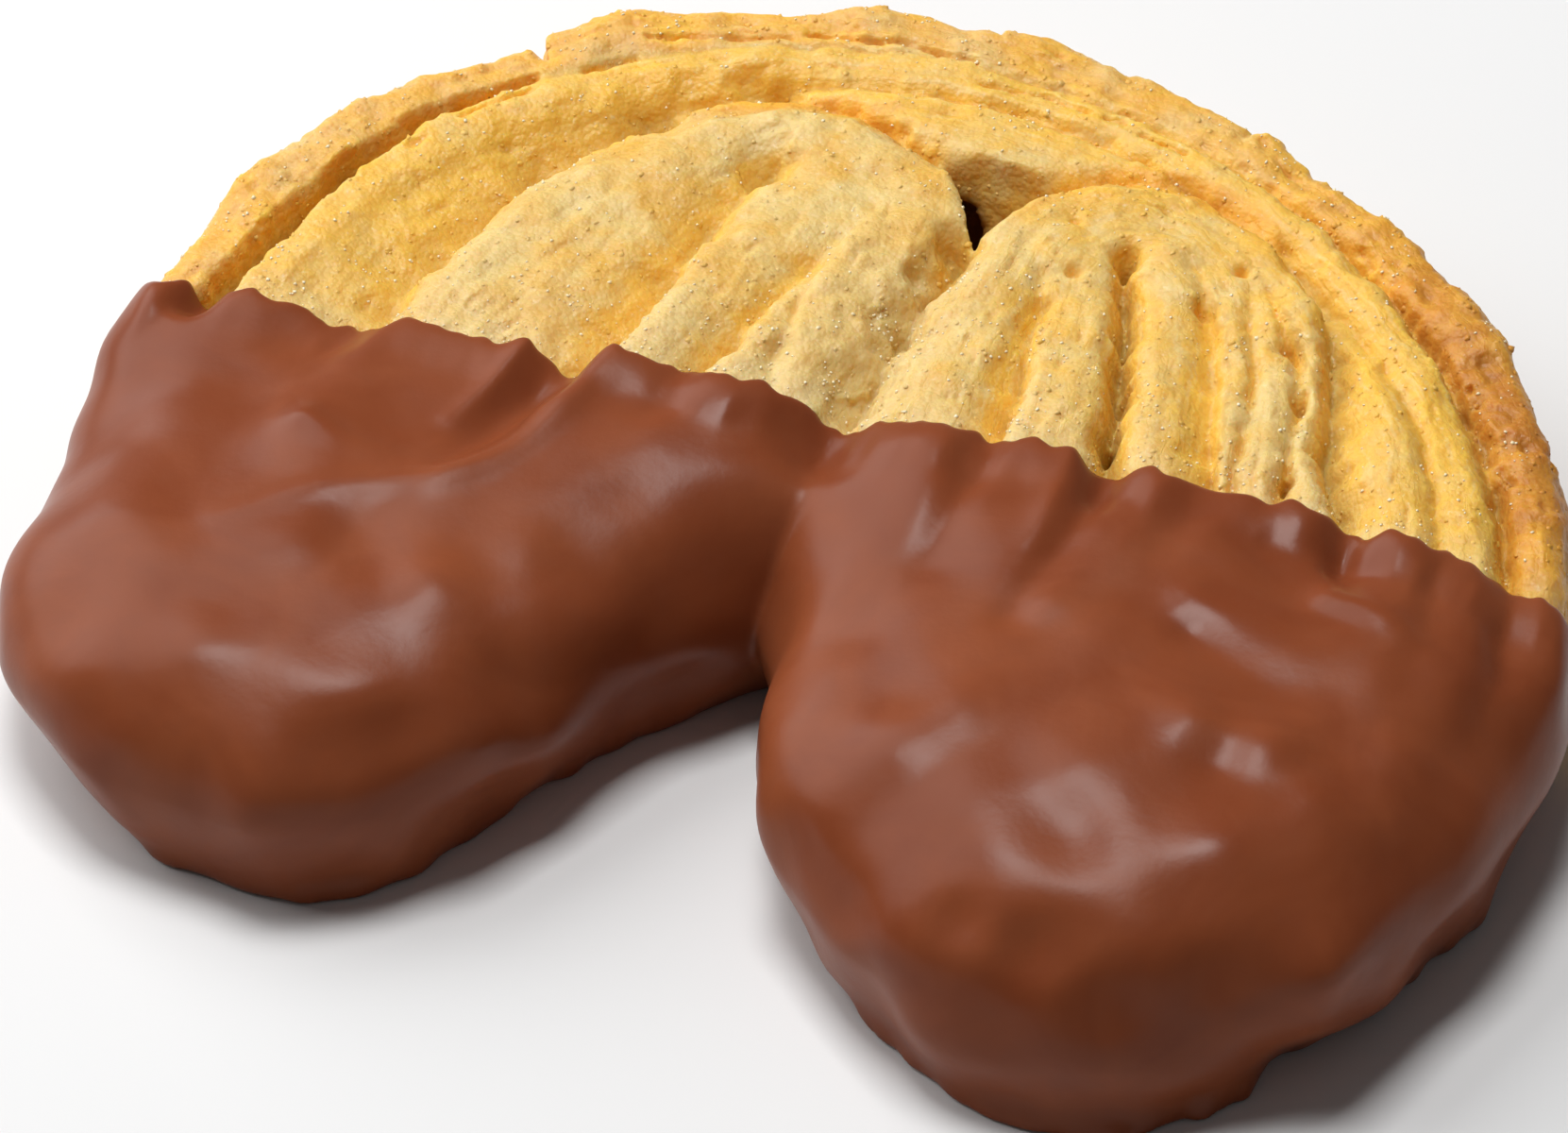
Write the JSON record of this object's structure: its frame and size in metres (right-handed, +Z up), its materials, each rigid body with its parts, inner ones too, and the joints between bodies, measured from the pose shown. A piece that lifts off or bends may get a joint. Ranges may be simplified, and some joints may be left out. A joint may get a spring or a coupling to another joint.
{
  "type": "chocolate dipped palmier",
  "caption": "Heart-shaped palmier biscuit of rolled puff pastry, its layers curled into an arch over folded legs, with both front lobes dipped in milk chocolate.",
  "frame": {"origin": "on the surface it lies on, under the middle of its footprint", "axes": "+X across the two lobes to the right, +Y from the dipped lobes towards the arch, +Z up"},
  "size_m": [0.1146, 0.0952, 0.0205],
  "materials": {
    "pastry": "baked puff pastry, pale golden with browned edges, dry and flaky",
    "chocolate": "set milk chocolate, satin gloss"
  },
  "bodies": {
    "root": {"pastry": "pastry", "chocolate_dip": "chocolate"}
  },
  "joints": []
}
